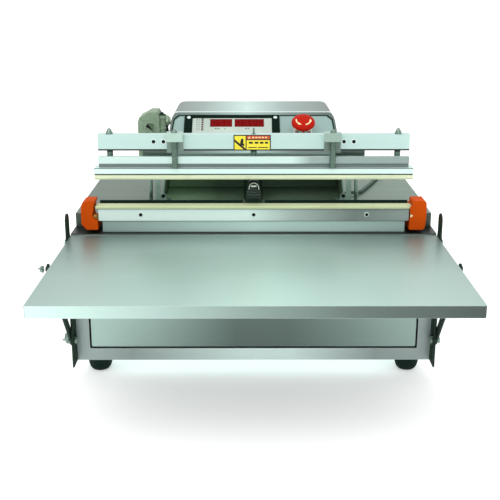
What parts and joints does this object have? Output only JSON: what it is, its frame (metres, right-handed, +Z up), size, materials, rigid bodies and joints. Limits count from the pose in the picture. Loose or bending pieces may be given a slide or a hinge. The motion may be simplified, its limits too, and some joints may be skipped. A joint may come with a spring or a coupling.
{
  "type": "tabletop vacuum packing machine",
  "caption": "Tabletop vacuum packer: cabinet on rubber feet, folding work tray, pneumatic seal-bar press, sliding suction nozzle and a sloped control head.",
  "frame": {"origin": "on the surface the feet stand on, under the middle of the whole machine", "axes": "+X to the machine's right, +Y to its back, +Z up"},
  "size_m": [0.609, 0.7258, 0.4079],
  "materials": {
    "painted_mint": "satin pale mint powder coat on sheet steel",
    "aluminium": "satin extruded, pale green reflections",
    "beam_aluminium": "satin square tube",
    "arm_metal": "satin milled block",
    "dark_steel": "dark green-grey strip steel",
    "bright_steel": "zinc-plated fasteners and ground rods",
    "rubber": "matt black-green rubber",
    "hose_rubber": "dark green hose",
    "seal_pad": "cream silicone pad under release cloth",
    "heating_strip": "nickel-chrome strip",
    "orange_plastic": "moulded orange heat-proof plastic",
    "black_plastic": "moulded black",
    "bay_black": "dark painted bay",
    "nozzle_plastic": "glossy black-green moulding",
    "panel_paint": "satin panel paint",
    "bezel_plastic": "dark bezel",
    "overlay": "pale grey printed film",
    "red_display": "red tinted display window",
    "key_plastic": "pale grey moulding",
    "collar_metal": "chromed collar",
    "red_plastic": "signal red moulding",
    "green_casting": "sage green painted casting",
    "motor_paint": "dark painted motor body",
    "transformer_iron": "laminated core and coil"
  },
  "bodies": {
    "cabinet": {"cabinet_body": "painted_mint", "deck_plate": "painted_mint", "front_panel": "painted_mint", "rear_panel": "painted_mint", "foot_front_left": "rubber", "foot_rear_left": "rubber", "foot_front_right": "rubber", "foot_rear_right": "rubber", "power_inlet": "black_plastic", "pump_motor": "motor_paint", "impulse_transformer": "transformer_iron", "lower_jaw_support": "painted_mint", "lower_jaw_bar": "aluminium", "lower_seal_pad": "seal_pad", "heating_strip": "heating_strip", "end_cap_left": "orange_plastic", "end_cap_right": "orange_plastic", "press_cylinder_left": "aluminium", "press_cylinder_right": "aluminium", "control_head": "painted_mint", "bay_liner": "bay_black", "control_panel": "panel_paint", "panel_bezel": "bezel_plastic", "panel_overlay": "overlay", "display_time": "red_display", "display_heat": "red_display", "estop_collar": "collar_metal", "nozzle_rail": "bright_steel", "pump_head": "green_casting", "air_hose": "hose_rubber", "slot_bracket_left": "dark_steel", "slot_bracket_right": "dark_steel"},
    "press": {"press_beam": "beam_aluminium", "upper_jaw_bar": "aluminium", "upper_seal_pad": "seal_pad", "press_arm_left": "arm_metal", "press_arm_right": "arm_metal", "hanger_stud_left": "bright_steel", "hanger_stud_right": "bright_steel", "piston_rod_left": "bright_steel", "piston_rod_right": "bright_steel", "adjuster_left": "bright_steel", "adjuster_middle": "bright_steel", "adjuster_right": "bright_steel"},
    "nozzle": {"nozzle_head": "nozzle_plastic", "nozzle_carriage": "dark_steel"},
    "estop_plunger": {"estop_stem": "key_plastic"},
    "estop_head": {"estop_button": "red_plastic"},
    "key_1": {"panel_key_1": "key_plastic"},
    "key_2": {"panel_key_2": "key_plastic"},
    "key_3": {"panel_key_3": "key_plastic"},
    "tray_lift": {"tray_bolt_left": "bright_steel", "tray_bolt_right": "bright_steel"},
    "tray_table": {"tray": "painted_mint"},
    "brace_link_left": {"brace_left": "dark_steel", "wing_nut_left": "bright_steel"},
    "brace_link_right": {"brace_right": "dark_steel", "clamp_bolt_right": "bright_steel"},
    "slider_left": {"slot_slider_left": "bright_steel"},
    "slider_right": {"slot_slider_right": "bright_steel"}
  },
  "joints": [
    {"name": "jaw_press", "type": "slide", "parent": "cabinet", "child": "press", "axis": [0, 0, -1], "range_m": [0, 0.042], "stiffness_N_per_m": 2500, "springref_m": -0.045},
    {"name": "nozzle_slide", "type": "slide", "parent": "cabinet", "child": "nozzle", "axis": [0, 1, 0], "range_m": [0, 0.0756]},
    {"name": "estop_push", "type": "slide", "parent": "cabinet", "child": "estop_plunger", "axis": [0, 0.5436, -0.8393], "range_m": [0, 0.004], "stiffness_N_per_m": 2000, "springref_m": -0.001},
    {"name": "estop_twist", "type": "hinge", "parent": "estop_plunger", "child": "estop_head", "pos_m": [0.085, 0.11885, 0.39228], "axis": [0, -0.5436, 0.8393], "range_deg": [-30, 0], "stiffness_Nm_per_rad": 0.05},
    {"name": "key_1_push", "type": "slide", "parent": "cabinet", "child": "key_1", "axis": [0, 0.5436, -0.8393], "range_m": [0, 0.0008], "stiffness_N_per_m": 800, "springref_m": -0.0005},
    {"name": "key_2_push", "type": "slide", "parent": "cabinet", "child": "key_2", "axis": [0, 0.5436, -0.8393], "range_m": [0, 0.0008], "stiffness_N_per_m": 800, "springref_m": -0.0005},
    {"name": "key_3_push", "type": "slide", "parent": "cabinet", "child": "key_3", "axis": [0, 0.5436, -0.8393], "range_m": [0, 0.0008], "stiffness_N_per_m": 800, "springref_m": -0.0005},
    {"name": "tray_height", "type": "slide", "parent": "cabinet", "child": "tray_lift", "axis": [0, 0, 1], "range_m": [-0.02, 0.03]},
    {"name": "tray_fold", "type": "hinge", "parent": "tray_lift", "child": "tray_table", "pos_m": [0, -0.0535, 0.2315], "axis": [-1, 0, 0], "range_deg": [-8, 75]},
    {"name": "brace_swing_left", "type": "hinge", "parent": "tray_table", "child": "brace_link_left", "pos_m": [-0.29475, -0.1885, 0.2315], "axis": [-1, 0, 0], "range_deg": [-46, 6]},
    {"name": "slot_slide_left", "type": "slide", "parent": "tray_lift", "child": "slider_left", "axis": [0, 0, 1], "range_m": [-0.0105, 0.0865]},
    {"name": "brace_swing_right", "type": "hinge", "parent": "tray_table", "child": "brace_link_right", "pos_m": [0.29475, -0.1885, 0.2315], "axis": [-1, 0, 0], "range_deg": [-46, 6]},
    {"name": "slot_slide_right", "type": "slide", "parent": "tray_lift", "child": "slider_right", "axis": [0, 0, 1], "range_m": [-0.0105, 0.0865]}
  ],
  "couplings": [
    {"joint": "nozzle_slide", "follows": "jaw_press", "ratio": 1.8},
    {"joint": "brace_swing_left", "follows": "tray_fold", "ratio": -0.6019},
    {"joint": "slot_slide_left", "follows": "tray_fold", "m_per_rad": 0.06501},
    {"joint": "brace_swing_right", "follows": "tray_fold", "ratio": -0.6019},
    {"joint": "slot_slide_right", "follows": "tray_fold", "m_per_rad": 0.06501}
  ]
}
